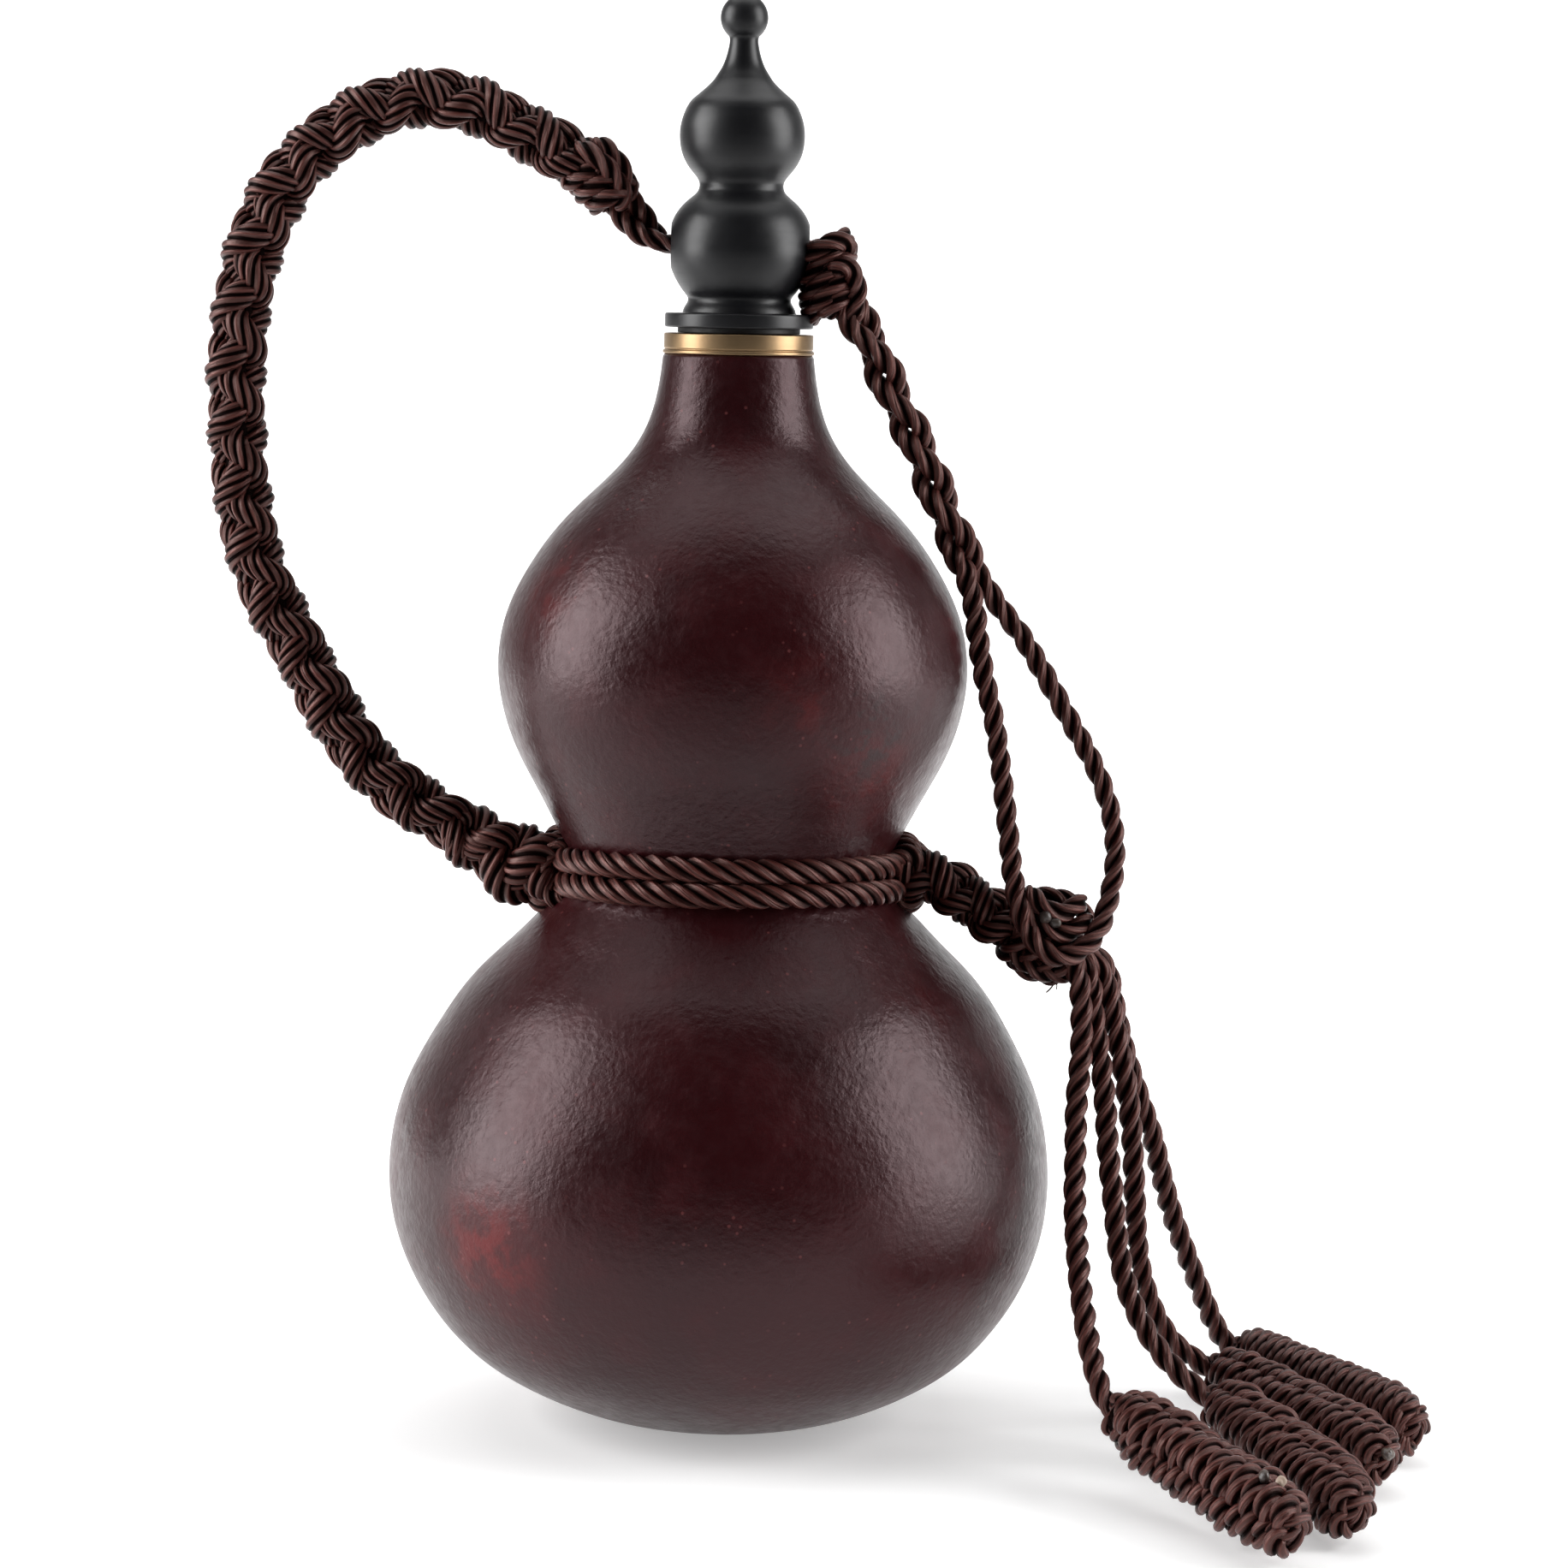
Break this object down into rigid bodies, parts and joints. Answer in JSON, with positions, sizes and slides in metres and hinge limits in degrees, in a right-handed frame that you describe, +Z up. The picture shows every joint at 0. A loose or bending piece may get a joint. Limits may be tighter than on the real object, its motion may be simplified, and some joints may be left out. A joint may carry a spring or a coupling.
{
  "type": "gourd water bottle",
  "caption": "Two-lobed lacquered gourd bottle with a brass collar, a turned push-in stopper, a braided cord handle and knotted tassels.",
  "frame": {"origin": "centre of the flat base", "axes": "+Z up along the bottle, +X towards the tassels, -Y towards the front"},
  "size_m": [0.233, 0.1689, 0.267],
  "materials": {
    "lacquered_gourd": "semi-gloss dark maroon lacquer",
    "wax": "natural wax",
    "dark_wood": "plain turned",
    "brass": "polished, turned",
    "black_satin": "satin black, turned",
    "black_rubber": "matte",
    "brown_cord": "silky twisted cord"
  },
  "bodies": {
    "bottle": {"gourd_shell": "lacquered_gourd", "wax_lining": "wax", "mouth_bush": "dark_wood", "brass_ring": "brass", "handle_braid": "brown_cord", "handle_top_knot": "brown_cord", "handle_cord_front": "brown_cord", "handle_cord_rear": "brown_cord", "waist_cord_upper": "brown_cord", "waist_cord_lower": "brown_cord", "waist_knot": "brown_cord", "tail_braid": "brown_cord", "tail_knot": "brown_cord", "tether_cord": "brown_cord", "tassel_cord_1": "brown_cord", "tassel_cord_2": "brown_cord", "tassel_cord_3": "brown_cord", "tassel_cord_4": "brown_cord", "tassel_1": "brown_cord", "tassel_2": "brown_cord", "tassel_3": "brown_cord", "tassel_4": "brown_cord"},
    "stopper": {"stopper_body": "black_satin", "stopper_plug": "dark_wood", "stopper_gasket": "black_rubber", "o_ring_upper": "black_rubber", "o_ring_lower": "black_rubber", "stopper_cord_front": "brown_cord", "stopper_cord_rear": "brown_cord", "stopper_knot": "brown_cord"}
  },
  "joints": [
    {"name": "stopper_lift", "type": "slide", "parent": "bottle", "child": "stopper", "axis": [0, 0, 1], "range_m": [0, 0.03]}
  ]
}
